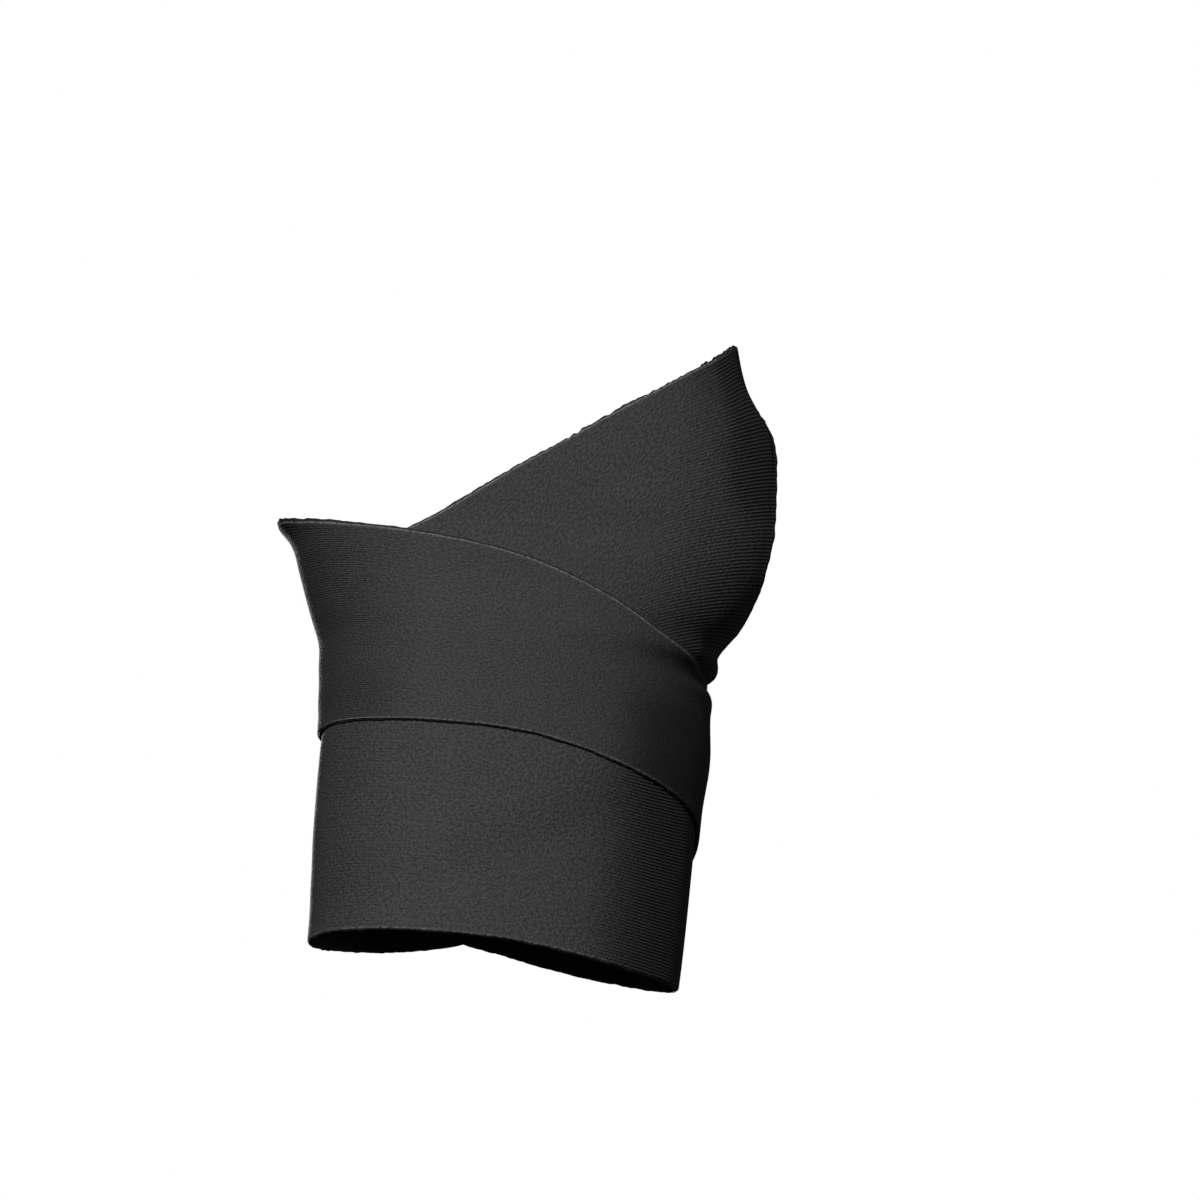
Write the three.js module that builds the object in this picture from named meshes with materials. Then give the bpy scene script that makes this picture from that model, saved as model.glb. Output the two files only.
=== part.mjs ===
// Wrist wrap: one long strap of thin stretch fabric with an opening for the thumb, in the form
// that it has when worn on a left hand. Millimetres. The origin is the centre of the wrist,
// +Z runs from the elbow to the hand, +X is the thumb side, and the back of the hand faces -Y.
//
// The strap starts on the palm beside the thumb, crosses the back of the hand down to the little
// finger's side, goes once round the wrist, and its narrow tail crosses over both and ends on the
// palm, where a hook patch holds it. A place on the strap is given by its turn in degrees, counted
// on from layer to layer: -90 is the thumb side, 0 the back of the hand, 90 the little finger's
// side, 180 the palm, 360 the back again, and so on to the tail.

import * as THREE from 'three';
import { mergeVertices } from 'three/addons/utils/BufferGeometryUtils.js';

// Driving dimensions
const wristHalfWidth = 28.5;
const wristHalfDepth = 22;
const strapWidth = 50;
const strapThickness = 1;
const layerGap = 0.4; // air between one layer and the next
const drapeClearance = 1; // a layer stays up this far past an edge beneath it
const drapeReach = 11; // and then comes down over this length
const webBridge = 8; // strap above the thumb opening, over the web of the hand
const thumbBridge = 14.5; // strap below the thumb opening
const thumbOpeningDepth = 36; // the opening from the back of the hand to the palm
const thumbOpeningTurn = -98;
const startCorner = 6;
const tailCorner = 8;
const patchLength = 28;
const patchWidth = 20;
const patchThickness = 1.2;
const patchCorner = 3;
const patchMargin = 5; // strap between the patch and the end of the tail
const creaseSpan = 3; // height over which a layer's slope is taken, so that it turns gently in a crease

// Fineness of the mesh
const turnStep = 6;
const strapRows = 6;
const patchRows = 2;
const openingSteps = 16;
const cornerSteps = 4;

// The form that the strap lies on, at levels given as shares of the strap's width. The thumb side
// and the little finger's side are shares of the wrist's half width, the back and the palm shares
// of its half depth. A fullness of 2 is an ellipse, and a larger one is squarer.
const form = curves(['level', 'thumbSide', 'littleSide', 'back', 'palm', 'thumbFullness', 'littleFullness'], [
  [-1.0, 1.1, 1.0, 1.02, 0.955, 2.3, 2.3],
  [-0.76, 1.095, 0.965, 1.01, 0.945, 2.3, 2.3],
  [-0.5, 1.08, 0.965, 1.0, 0.94, 2.3, 2.3],
  [-0.2, 1.055, 0.975, 0.99, 0.94, 2.3, 2.3],
  [0, 1.03, 1.0, 0.99, 0.945, 2.35, 2.3],
  [0.1, 1.045, 1.015, 1.0, 0.965, 2.4, 2.35],
  [0.18, 1.1, 1.065, 1.015, 0.98, 2.5, 2.4],
  [0.3, 1.23, 1.17, 1.045, 1.03, 2.7, 2.5],
  [0.44, 1.36, 1.315, 1.08, 1.075, 2.9, 2.6],
  [0.6, 1.44, 1.51, 1.12, 1.13, 3.0, 2.7],
  [0.76, 1.41, 1.58, 1.145, 1.155, 3.0, 2.8],
  [0.92, 1.32, 1.61, 1.165, 1.145, 2.9, 3.0],
  [1.1, 1.12, 1.61, 1.155, 1.11, 2.7, 3.0],
  [1.32, 1.0, 1.61, 1.135, 1.045, 2.5, 3.0],
]);

// The strap's two edges along its length, as shares of its width above the wrist's centre.
const edges = curves(['turn', 'top', 'bottom'], [
  // the start on the palm, and round the thumb
  [-168, 0.48, -0.34],
  [-150, 0.65, -0.26],
  [-130, 0.88, -0.17],
  [-110, 1.12, -0.11],
  [-90, 1.25, -0.085],
  [-70, 1.22, -0.1],
  // down across the back of the hand
  [-50, 1.11, -0.17],
  [-30, 0.935, -0.28],
  [-10, 0.79, -0.38],
  [10, 0.665, -0.46],
  [30, 0.53, -0.53],
  [60, 0.38, -0.61],
  // under the wrist and once round it
  [90, 0.31, -0.67],
  [180, 0.21, -0.77],
  [225, 0.17, -0.84],
  [270, 0.13, -0.91],
  [300, 0.065, -0.925],
  [330, 0.07, -0.9],
  [360, 0.09, -0.885],
  [420, 0.12, -0.89],
  [450, 0.17, -0.89],
  // narrowing under the wrist
  [495, 0.18, -0.83],
  [540, 0.17, -0.73],
  [585, 0.15, -0.6],
  [610, 0.135, -0.51],
  [630, 0.13, -0.41],
  // the tail, over both earlier layers
  [650, 0.14, -0.335],
  [670, 0.205, -0.28],
  [690, 0.295, -0.235],
  [710, 0.36, -0.205],
  [730, 0.4, -0.195],
  [770, 0.455, -0.195],
  [810, 0.52, -0.195],
  [850, 0.505, -0.195],
  [905, 0.42, -0.17],
]);

const startTurn = edges.turn[0];
const tailTurn = edges.turn[edges.turn.length - 1];
const layerStep = strapThickness + layerGap;
const openingHalfTurn = THREE.MathUtils.radToDeg(thumbOpeningDepth / 2 / (wristHalfWidth * form.thumbSide(0.44)));

const tailScale = degreeLength(tailTurn - 20);
const patchEnd = tailTurn - patchMargin / tailScale;
const patchStart = patchEnd - patchLength / tailScale;

// Smooth curves, one for each column, over the table's first column.
function curves(names, rows) {
  const places = rows.map((row) => row[0]);
  const result = { [names[0]]: places };
  names.slice(1).forEach((name, index) => {
    result[name] = smoothCurve(places, rows.map((row) => row[index + 1]));
  });
  return result;
}

function smoothCurve(places, values) {
  const last = places.length - 1;
  const slopes = values.map((value, index) => {
    const before = Math.max(index - 1, 0);
    const after = Math.min(index + 1, last);
    return (values[after] - values[before]) / (places[after] - places[before]);
  });
  return (place) => {
    const at = THREE.MathUtils.clamp(place, places[0], places[last]);
    let index = 0;
    while (index < last - 1 && at > places[index + 1]) index += 1;
    const length = places[index + 1] - places[index];
    const t = (at - places[index]) / length;
    const rise = t * t * (3 - 2 * t);
    return values[index] * (1 - rise) + values[index + 1] * rise
      + length * t * (1 - t) * (slopes[index] * (1 - t) - slopes[index + 1] * t);
  };
}

// A point on the form, whose section is a superellipse with its own radius on each side.
function formPoint(turn, height) {
  const level = height / strapWidth;
  const angle = THREE.MathUtils.degToRad(turn);
  const side = Math.sin(angle);
  const front = Math.cos(angle);
  const halfWidth = wristHalfWidth * (side > 0 ? form.littleSide(level) : form.thumbSide(level));
  const halfDepth = wristHalfDepth * (front > 0 ? form.back(level) : form.palm(level));
  const fullness = THREE.MathUtils.lerp(form.thumbFullness(level), form.littleFullness(level), (1 + side) / 2);
  const sum = Math.abs(side / halfWidth) ** fullness + Math.abs(front / halfDepth) ** fullness;
  const radius = sum ** (-1 / fullness);
  return new THREE.Vector3(-radius * side, -radius * front, height);
}

// A point at a depth outwards from the form, along its normal.
function pointAt(turn, height, depth) {
  const around = formPoint(turn + 0.5, height).sub(formPoint(turn - 0.5, height));
  const upwards = formPoint(turn, height + creaseSpan).sub(formPoint(turn, height - creaseSpan));
  const outwards = upwards.cross(around).normalize();
  return formPoint(turn, height).addScaledVector(outwards, depth);
}

// Length along the wrist of one degree of turn.
function degreeLength(turn) {
  return formPoint(turn + 0.5, 0).distanceTo(formPoint(turn - 0.5, 0));
}

function topEdge(turn) {
  return strapWidth * edges.top(turn);
}

function bottomEdge(turn) {
  return strapWidth * edges.bottom(turn);
}

// 1 over a layer and close to its edge, falling to 0 further out.
function drape(distance) {
  return 1 - THREE.MathUtils.smoothstep(distance, drapeClearance, drapeClearance + drapeReach);
}

// How much of a layer lies at a place: it has two edges and a start.
function layerCover(turn, height) {
  const acrossEdge = Math.max(height - topEdge(turn), bottomEdge(turn) - height);
  const beforeStart = (startTurn - turn) * degreeLength(startTurn);
  return drape(acrossEdge) * drape(beforeStart);
}

function layersBeneath(turn, height) {
  let depth = 0;
  for (let below = turn - 360; below > startTurn - 90; below -= 360) {
    depth += layerStep * layerCover(below, height);
  }
  return depth;
}

function tailCentre(turn) {
  return (topEdge(turn) + bottomEdge(turn)) / 2;
}

function patchBeneath(turn, height) {
  const pastEnds = Math.max(patchStart - turn, turn - patchEnd) * tailScale;
  const pastSides = Math.abs(height - tailCentre(turn)) - patchWidth / 2;
  return (patchThickness + layerGap) * drape(pastEnds) * drape(pastSides);
}

// How far a rounded corner cuts in, at a distance from the end.
function cornerInset(distance, radius) {
  const rest = Math.max(radius - distance, 0);
  return radius - Math.sqrt(Math.max(radius * radius - rest * rest, 0));
}

// Turns close together round the corners at both ends, and at whole steps between them, so that
// each layer has its turns over those of the layer beneath.
function endedTurns(start, end, startLength, endLength) {
  const turns = [];
  for (let index = 0; index <= cornerSteps; index += 1) {
    const share = Math.sin((Math.PI / 2) * (index / cornerSteps));
    turns.push(start + startLength * (1 - share), end - endLength * (1 - share));
  }
  const clear = turnStep / 3;
  const first = Math.ceil((start + startLength + clear) / turnStep);
  for (let step = first; step * turnStep < end - endLength - clear; step += 1) turns.push(step * turnStep);
  return turns.sort((one, other) => one - other);
}

// Stations along the strap. Each has two bands of fabric, below and above the middle line, which
// part round the thumb opening.
function strapStations() {
  const openingStart = thumbOpeningTurn - openingHalfTurn;
  const openingEnd = thumbOpeningTurn + openingHalfTurn;
  const startScale = degreeLength(startTurn);
  const turns = endedTurns(startTurn, tailTurn, startCorner / startScale, tailCorner / tailScale)
    .filter((turn) => turn < openingStart - turnStep / 3 || turn > openingEnd + turnStep / 3);
  for (let index = 0; index <= openingSteps; index += 1) {
    turns.push(thumbOpeningTurn - openingHalfTurn * Math.cos((Math.PI * index) / openingSteps));
  }
  turns.sort((one, other) => one - other);
  return turns.map((turn) => {
    const inset = cornerInset((turn - startTurn) * startScale, startCorner)
      + cornerInset((tailTurn - turn) * tailScale, tailCorner);
    const top = topEdge(turn);
    const bottom = bottomEdge(turn);
    const middle = (top - webBridge + bottom + thumbBridge) / 2;
    const across = Math.min(Math.abs(turn - thumbOpeningTurn) / openingHalfTurn, 1);
    const halfOpening = ((top - webBridge - bottom - thumbBridge) / 2) * Math.sqrt(1 - across * across);
    return {
      turn,
      bands: [[bottom + inset, middle - halfOpening], [middle + halfOpening, top - inset]],
    };
  });
}

function patchStations() {
  const corner = patchCorner / tailScale;
  return endedTurns(patchStart, patchEnd, corner, corner).map((turn) => {
    const inset = cornerInset((turn - patchStart) * tailScale, patchCorner)
      + cornerInset((patchEnd - turn) * tailScale, patchCorner);
    const halfWidth = patchWidth / 2 - inset;
    const middle = tailCentre(turn);
    return { turn, bands: [[middle - halfWidth, middle], [middle, middle + halfWidth]] };
  });
}

// A closed sheet over the stations, between an inner and an outer depth.
function sheetGeometry(stations, rowsPerBand, innerDepth, thickness) {
  const corners = stations.map(({ turn, bands }) => bands.map(([low, high]) => {
    const rows = [];
    for (let row = 0; row <= rowsPerBand; row += 1) {
      const height = low + ((high - low) * row) / rowsPerBand;
      const inner = innerDepth(turn, height);
      rows.push({ inner: pointAt(turn, height, inner), outer: pointAt(turn, height, inner + thickness) });
    }
    return rows;
  }));
  const positions = [];
  const addFace = (a, b, c, d) => {
    [a, b, c, a, c, d].forEach((point) => positions.push(point.x, point.y, point.z));
  };
  const addEdge = (near, far) => addFace(near.outer, far.outer, far.inner, near.inner);
  const isOpen = ({ bands }) => bands[1][0] - bands[0][1] > 1e-6;

  for (let index = 0; index < stations.length - 1; index += 1) {
    const here = corners[index];
    const next = corners[index + 1];
    for (let band = 0; band < 2; band += 1) {
      for (let row = 0; row < rowsPerBand; row += 1) {
        const a = here[band][row];
        const b = here[band][row + 1];
        const c = next[band][row + 1];
        const d = next[band][row];
        addFace(a.outer, b.outer, c.outer, d.outer);
        addFace(a.inner, d.inner, c.inner, b.inner);
      }
    }
    addEdge(here[0][0], next[0][0]);
    addEdge(next[1][rowsPerBand], here[1][rowsPerBand]);
    if (isOpen(stations[index]) || isOpen(stations[index + 1])) {
      addEdge(next[0][rowsPerBand], here[0][rowsPerBand]);
      addEdge(here[1][0], next[1][0]);
    }
  }
  const first = corners[0];
  const last = corners[corners.length - 1];
  for (let band = 0; band < 2; band += 1) {
    for (let row = 0; row < rowsPerBand; row += 1) {
      addEdge(first[band][row + 1], first[band][row]);
      addEdge(last[band][row], last[band][row + 1]);
    }
  }
  const geometry = new THREE.BufferGeometry();
  geometry.setAttribute('position', new THREE.Float32BufferAttribute(positions, 3));
  return mergeVertices(geometry, 1e-4);
}

// The strap: knit-faced stretch fabric, matt black, with raw cut edges.
function wrapBand() {
  const innerDepth = (turn, height) => layersBeneath(turn, height) + patchBeneath(turn, height);
  const material = new THREE.MeshStandardMaterial({ color: 0x383838, roughness: 0.92, metalness: 0 });
  const mesh = new THREE.Mesh(sheetGeometry(strapStations(), strapRows, innerDepth, strapThickness), material);
  mesh.name = 'wrap_band';
  return mesh;
}

// The hidden hook patch, between the tail and the layer that it grips.
function hookPatch() {
  const material = new THREE.MeshStandardMaterial({ color: 0x1e1e20, roughness: 0.7, metalness: 0 });
  const mesh = new THREE.Mesh(sheetGeometry(patchStations(), patchRows, layersBeneath, patchThickness), material);
  mesh.name = 'hook_patch';
  return mesh;
}

const wristWrap = new THREE.Group();
wristWrap.add(wrapBand(), hookPatch());

export default wristWrap;
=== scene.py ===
import math

import bpy
import numpy as np
from mathutils import Matrix, Vector


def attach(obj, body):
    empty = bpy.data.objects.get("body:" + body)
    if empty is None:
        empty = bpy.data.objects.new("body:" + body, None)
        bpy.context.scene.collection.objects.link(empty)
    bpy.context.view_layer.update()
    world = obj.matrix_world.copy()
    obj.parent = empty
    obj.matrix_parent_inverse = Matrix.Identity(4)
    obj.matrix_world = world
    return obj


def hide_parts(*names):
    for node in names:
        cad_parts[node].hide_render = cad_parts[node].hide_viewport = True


# Wrist wrap: one long strap of thin stretch fabric, in the form it has when worn on the left.
# The origin is the middle of the wrap's hollow where it is narrowest, +Z runs up to the thumb
# opening, +X is the thumb side and -Y the front. Lengths below are in millimetres until a mesh is
# made of them.

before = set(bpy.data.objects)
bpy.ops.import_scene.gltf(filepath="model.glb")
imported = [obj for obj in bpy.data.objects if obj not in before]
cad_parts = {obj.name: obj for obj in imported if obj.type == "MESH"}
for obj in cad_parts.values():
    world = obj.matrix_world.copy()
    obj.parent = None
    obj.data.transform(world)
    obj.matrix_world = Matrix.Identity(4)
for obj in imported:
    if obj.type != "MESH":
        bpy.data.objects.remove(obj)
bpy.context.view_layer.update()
mm = 0.001
print("frame loaded:", ", ".join(sorted(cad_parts)))

# the form that the fabric lies on
wornSize = {
    "halfWidth": 28.5,          # of the hollow at the origin
    "halfDepth": 22.0,
    "slopeSpan": 3.0,           # height over which its slope is taken
}

# level as a share of the strap's width, then the thumb side and the little side as shares of the
# half width, the front and the rear as shares of the half depth, and the fullness of either side;
# a fullness of 2 is an ellipse, and a larger one is squarer
wornForm = [
    (-1.0, 1.105, 1.035, 1.056, 0.991, 2.3, 2.3),
    (-0.76, 1.11, 0.992, 1.046, 0.981, 2.3, 2.3),
    (-0.5, 1.107, 1.017, 1.036, 0.976, 2.3, 2.3),
    (-0.2, 1.1, 1.03, 1.04, 0.99, 2.3, 2.3),
    (-0.12, 1.09, 1.014, 1.044, 0.995, 2.3, 2.3),
    (0, 1.066, 1.024, 1.05, 1.009, 2.35, 2.3),
    (0.05, 1.066, 1.036, 1.055, 1.015, 2.35, 2.3),
    (0.1, 1.03, 1.042, 1.06, 1.02, 2.4, 2.35),
    (0.13, 1.045, 1.05, 1.063, 1.025, 2.45, 2.35),
    (0.17, 1.13, 1.07, 1.067, 1.03, 2.5, 2.4),
    (0.22, 1.128, 1.109, 1.072, 1.04, 2.6, 2.4),
    (0.3, 1.252, 1.178, 1.08, 1.07, 2.7, 2.45),
    (0.38, 1.34, 1.25, 1.092, 1.095, 2.8, 2.45),
    (0.44, 1.392, 1.313, 1.1, 1.11, 2.9, 2.4),
    (0.48, 1.412, 1.378, 1.105, 1.12, 2.95, 2.35),
    (0.52, 1.437, 1.48, 1.11, 1.13, 2.95, 2.35),
    (0.6, 1.454, 1.66, 1.131, 1.141, 3.0, 2.5),
    (0.76, 1.41, 1.6, 1.156, 1.166, 3.0, 2.8),
    (0.92, 1.329, 1.619, 1.176, 1.156, 2.9, 3.0),
    (1.1, 1.129, 1.619, 1.166, 1.121, 2.7, 3.0),
    (1.32, 1.009, 1.619, 1.146, 1.056, 2.5, 3.0),
]

strap = {
    "width": 50.0,
    "thickness": 0.7,
    "layerGap": 0.05,           # air between one layer and the next, pressed close by the stretch
    "drapeClearance": 1.0,      # a layer stays up this far past an edge beneath it
    "drapeReach": 11.0,         # and then comes down over this length
    "startStretch": 0.15,       # its start is stretched wider by this share
    "stretchEnd": 180.0,        # and less from turn 0 on, up to this turn
    "webBridge": 8.0,           # strap above the thumb opening
    "thumbBridge": 14.5,        # strap below it
    "openingDepth": 36.0,
    "openingTurn": -98.0,
    "openingForm": 1.36,        # the form's half width there, as a share of the one above
    "startCorner": 6.0,
    "tailCorner": 8.0,
    "edgeThinning": (0.06, 0.42),   # share of its thickness lost at a cut edge, in front and aside
    "thinningReach": 2.0,
    "columnStep": 1.2,          # mesh columns along the strap
    "bandRows": 24,             # mesh rows on each side of the middle line
    "openingColumns": 44,
    "cornerColumns": 6,
    "rimMargin": 1.0,           # finer mesh this near to a cut edge
    "openingMargin": 3.0,
    "rimSteps": 4,              # fine steps to one column there
    "lineStep": 0.25,           # degrees between the points that the length is measured by
    "lineBeyond": 5.0,          # degrees of them past either end
    "lineDepth": 0.5,           # and how far out from the form they lie
}

# turn in degrees, then the top and the bottom edge as shares of the strap's width
strapEdges = [
    (-168, 0.48, -0.34),        # the start at the rear, and round the thumb side
    (-150, 0.65, -0.26),
    (-130, 0.88, -0.17),
    (-110, 1.12, -0.11),
    (-90, 1.25, -0.085),
    (-70, 1.22, -0.1),
    (-50, 1.1, -0.17),          # down across the front
    (-30, 0.942, -0.28),
    (-10, 0.795, -0.38),
    (10, 0.668, -0.46),
    (30, 0.527, -0.53),
    (42, 0.45, -0.565),
    (60, 0.37, -0.61),
    (90, 0.31, -0.67),          # behind, and once round
    (180, 0.21, -0.77),
    (225, 0.17, -0.84),
    (270, 0.13, -0.91),
    (300, 0.065, -0.925),
    (330, 0.07, -0.9),
    (360, 0.09, -0.885),
    (420, 0.12, -0.89),
    (450, 0.17, -0.89),
    (495, 0.18, -0.83),         # narrowing behind
    (540, 0.17, -0.73),
    (585, 0.15, -0.6),
    (610, 0.135, -0.51),
    (630, 0.13, -0.41),
    (650, 0.14, -0.335),        # the tail, over both earlier layers
    (670, 0.205, -0.28),
    (690, 0.295, -0.235),
    (710, 0.36, -0.205),
    (730, 0.4, -0.195),
    (770, 0.45, -0.195),
    (795, 0.49, -0.195),
    (812, 0.519, -0.195),
    (850, 0.5, -0.195),
    (905, 0.42, -0.17),
]

# the slanting profile of a cut edge: how far out to it, depth from the inner face, then how much
# of the knit's cut lip, pale with thread ends and a painted highlight, and of the black foam core shows
# there
rimProfile = [
    (0.3, 1.0, 0.0, 0.0),
    (0.5, 0.96, 0.3, 0.0),
    (0.64, 0.88, 1.0, 0.0),
    (0.71, 0.74, 0.3, 1.0),
    (0.86, 0.42, 0.0, 1.0),
    (1.0, 0.15, 0.1, 1.0),
    (0.97, 0.03, 0.4, 0.5),
    (0.7, 0.0, 0.1, 0.0),
    (0.3, 0.0, 0.0, 0.0),
]

# the same round the thumb opening, where more of the fabric is reshaped
openingProfile = [
    (0.12, 1.0, 0.0, 0.0),
    (0.25, 1.0, 0.0, 0.0),
    (0.37, 1.0, 0.0, 0.0),
    (0.49, 1.0, 0.0, 0.0),
    (0.6, 1.0, 0.0, 0.0),
    (0.7, 1.0, 0.0, 0.0),
    (0.8, 0.96, 0.2, 0.0),
    (0.88, 0.88, 0.8, 0.0),
    (0.93, 0.7, 0.2, 1.0),
    (0.98, 0.4, 0.0, 1.0),
    (1.0, 0.18, 0.3, 1.0),
    (0.98, 0.03, 0.6, 0.3),
    (0.88, 0.0, 0.1, 0.0),
    (0.7, 0.0, 0.0, 0.0),
    (0.5, 0.0, 0.0, 0.0),
    (0.25, 0.0, 0.0, 0.0),
]


def smoothCurve(places, values):
    places = np.array(places, float)
    values = np.array(values, float)
    slopes = np.gradient(values, places, edge_order=1)
    slopes[1:-1] = (values[2:] - values[:-2]) / (places[2:] - places[:-2])

    def at(place):
        place = np.clip(place, places[0], places[-1])
        index = np.clip(np.searchsorted(places, place) - 1, 0, len(places) - 2)
        length = places[index + 1] - places[index]
        t = (place - places[index]) / length
        rise = t * t * (3 - 2 * t)
        bend = length * t * (1 - t) * (slopes[index] * (1 - t) - slopes[index + 1] * t)
        return values[index] * (1 - rise) + values[index + 1] * rise + bend

    return at


def smoothRise(values, low, high):
    t = np.clip((values - low) / (high - low), 0, 1)
    return t * t * (3 - 2 * t)


def tableCurves(rows):
    columns = list(zip(*rows))
    return [smoothCurve(columns[0], column) for column in columns[1:]]


thumbSide, littleSide, frontSide, rearSide, thumbFullness, littleFullness = tableCurves(wornForm)
topShare, bottomShare = tableCurves(strapEdges)
startTurn = strapEdges[0][0]
tailTurn = strapEdges[-1][0]
openingScale = wornSize["halfWidth"] * strap["openingForm"] * math.pi / 180     # mm for one degree
openingHalfTurn = strap["openingDepth"] / 2 / openingScale
wideHalfTurn = openingHalfTurn + strap["openingMargin"] / openingScale          # with its finer mesh


def formPoint(turn, height):
    level = height / strap["width"]
    side = np.sin(np.radians(turn))
    front = np.cos(np.radians(turn))
    halfWidth = wornSize["halfWidth"] * np.where(side > 0, littleSide(level), thumbSide(level))
    halfDepth = wornSize["halfDepth"] * np.where(front > 0, frontSide(level), rearSide(level))
    toLittle = (1 + side) / 2
    fullness = thumbFullness(level) * (1 - toLittle) + littleFullness(level) * toLittle
    total = np.abs(side / halfWidth) ** fullness + np.abs(front / halfDepth) ** fullness
    radius = total ** (-1 / fullness)
    return np.stack([-radius * side, -radius * front, height], -1)


def pointAt(turn, height, depth):
    # a point at a depth outwards from the form, along its normal
    turn, height, depth = np.broadcast_arrays(np.asarray(turn, float), height, depth)
    span = wornSize["slopeSpan"]
    around = formPoint(turn + 0.5, height) - formPoint(turn - 0.5, height)
    upwards = formPoint(turn, height + span) - formPoint(turn, height - span)
    outwards = np.cross(upwards, around)
    outwards /= np.linalg.norm(outwards, axis=-1, keepdims=True)
    return formPoint(turn, height) + outwards * depth[..., None]


def degreeLength(turn, height=0.0):
    turn, height = np.broadcast_arrays(np.asarray(turn, float), np.asarray(height, float))
    return np.linalg.norm(formPoint(turn + 0.5, height) - formPoint(turn - 0.5, height), axis=-1)


def topEdge(turn):
    return strap["width"] * topShare(turn)


def bottomEdge(turn):
    return strap["width"] * bottomShare(turn)


def drape(distance):
    clearance = strap["drapeClearance"]
    return 1 - smoothRise(distance, clearance, clearance + strap["drapeReach"])


def layersBeneath(turn, height):
    depth = 0
    for wraps in (1, 2, 3):
        below = turn - 360 * wraps
        acrossEdge = np.maximum(height - topEdge(below), bottomEdge(below) - height)
        beforeStart = (startTurn - below) * degreeLength(startTurn)
        cover = drape(acrossEdge) * drape(beforeStart)
        depth = depth + (strap["thickness"] + strap["layerGap"]) * cover
    return depth


def tailCentre(turn):
    return (topEdge(turn) + bottomEdge(turn)) / 2


# the piece of hook tape, with its moulded hooks
hookPad = {
    "length": 28.0,
    "width": 20.0,
    "thickness": 1.2,
    "corner": 3.0,
    "fromEnd": 5.0,
    "middleTurn": 20.0,         # degrees from the strap's end to about the middle of the tape
    "tape": 0.45,               # thickness of the woven base under the hooks
    "columns": 20,              # mesh of the base
    "rows": 18,
    "cornerSteps": 6,
    "hookPitch": (1.4, 1.2),    # along and across
    "hookWidth": 0.2,
    "hookFlatness": 0.6,        # its thickness along the strap, as a share of its width
    "endMargin": 1.2,           # tape left bare at its ends
    "lowMargin": 1.0,           # and along its sides
    "highMargin": 0.9,
}

tailScale = float(degreeLength(tailTurn - hookPad["middleTurn"]))
patchEnd = tailTurn - hookPad["fromEnd"] / tailScale
patchStart = patchEnd - hookPad["length"] / tailScale


def patchBeneath(turn, height):
    pastEnds = np.maximum(patchStart - turn, turn - patchEnd) * tailScale
    pastSides = np.abs(height - tailCentre(turn)) - hookPad["width"] / 2
    return (hookPad["thickness"] + strap["layerGap"]) * drape(pastEnds) * drape(pastSides)


# the fabric just outside the thumb opening
openingRim = {
    "lastTurn": 100.0,          # the layer with the opening ends before this turn
    "valleyDepth": 1.4,         # along the opening the fabric dips
    "valleyPlace": 1.8,
    "valleyReach": 0.9,
    "curlHeight": 0.5,          # and then curls out
    "curlReach": 0.9,
    "curlAngle": (60.0, 20.0),  # most of all this far up round the opening, within this spread
    "leastCurl": 0.08,
    "curlBottom": 12.0,         # and not at all below this height, where the tail lies on it
    "curlFade": 8.0,
    "shadeAngle": (43.0, 7.5),   # a patch of painted shade, where a small fold would be shadowed, lies beside the opening this far up round it
    "shadeReach": 7.0,
    "shadeSoftness": 1.5,
}


def openingPlace(turn, height):
    # how far outside the opening's edge, and how many degrees up round it from its front end
    top = topEdge(turn) - strap["webBridge"]
    bottom = bottomEdge(turn) + strap["thumbBridge"]
    across = (turn - strap["openingTurn"]) / openingHalfTurn
    upwards = (height - (top + bottom) / 2) / np.maximum((top - bottom) / 2, 1)
    away = np.maximum((np.hypot(across, upwards) - 1) * strap["openingDepth"] / 2, 0)
    return away, np.degrees(np.arctan2(upwards, across))


def openingCurl(turn, height):
    # the fabric is drawn in beside the opening, and the edge itself curls out
    away, angle = openingPlace(turn, height)
    dip = np.exp(-((away - openingRim["valleyPlace"]) / openingRim["valleyReach"]) ** 2)
    rise = np.exp(-(away / openingRim["curlReach"]) ** 2)
    lift = openingRim["curlHeight"] * rise - openingRim["valleyDepth"] * dip
    middle, spread = openingRim["curlAngle"]
    least = openingRim["leastCurl"]
    share = least + (1 - least) * np.exp(-((angle - middle) / spread) ** 2)
    share *= np.clip((height - openingRim["curlBottom"]) / openingRim["curlFade"], 0, 1)
    return lift * share * (turn < openingRim["lastTurn"])


# painted shade: the foam core's black put on the outer knit face in a patch beside the opening
def paintedFoldShade(turn, height):
    away, angle = openingPlace(turn, height)
    middle, spread = openingRim["shadeAngle"]
    near = np.clip((openingRim["shadeReach"] - away) / openingRim["shadeSoftness"], 0, 1)
    return np.exp(-((angle - middle) / spread) ** 4) * near * (turn < openingRim["lastTurn"])


def fabricThickness(turn, height):
    toEdge = np.maximum(np.minimum(topEdge(turn) - height, height - bottomEdge(turn)), 0)
    inFront, aside = strap["edgeThinning"]
    lost = inFront + (aside - inFront) * np.maximum(np.sin(np.radians(turn)), 0) ** 6
    return strap["thickness"] * (1 - lost * np.exp(-toEdge / strap["thinningReach"]))


# the strap's middle line, which its length is measured by
lineEnd = tailTurn + strap["lineBeyond"] + strap["lineStep"]
lineTurns = np.arange(startTurn - strap["lineBeyond"], lineEnd, strap["lineStep"])
linePoints = pointAt(lineTurns, tailCentre(lineTurns), strap["lineDepth"])
lineSteps = np.linalg.norm(np.diff(linePoints, axis=0), axis=1)
lineLengths = np.concatenate([[0.0], np.cumsum(lineSteps)])
lineLengths -= np.interp(startTurn, lineTurns, lineLengths)


def lengthAt(turn):
    return np.interp(turn, lineTurns, lineLengths)


def evenTurns(first, last):
    span = lengthAt(last) - lengthAt(first)
    count = max(round(float(span) / strap["columnStep"]), 2)
    return np.interp(np.linspace(lengthAt(first), lengthAt(last), count + 1), lineLengths, lineTurns)


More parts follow.
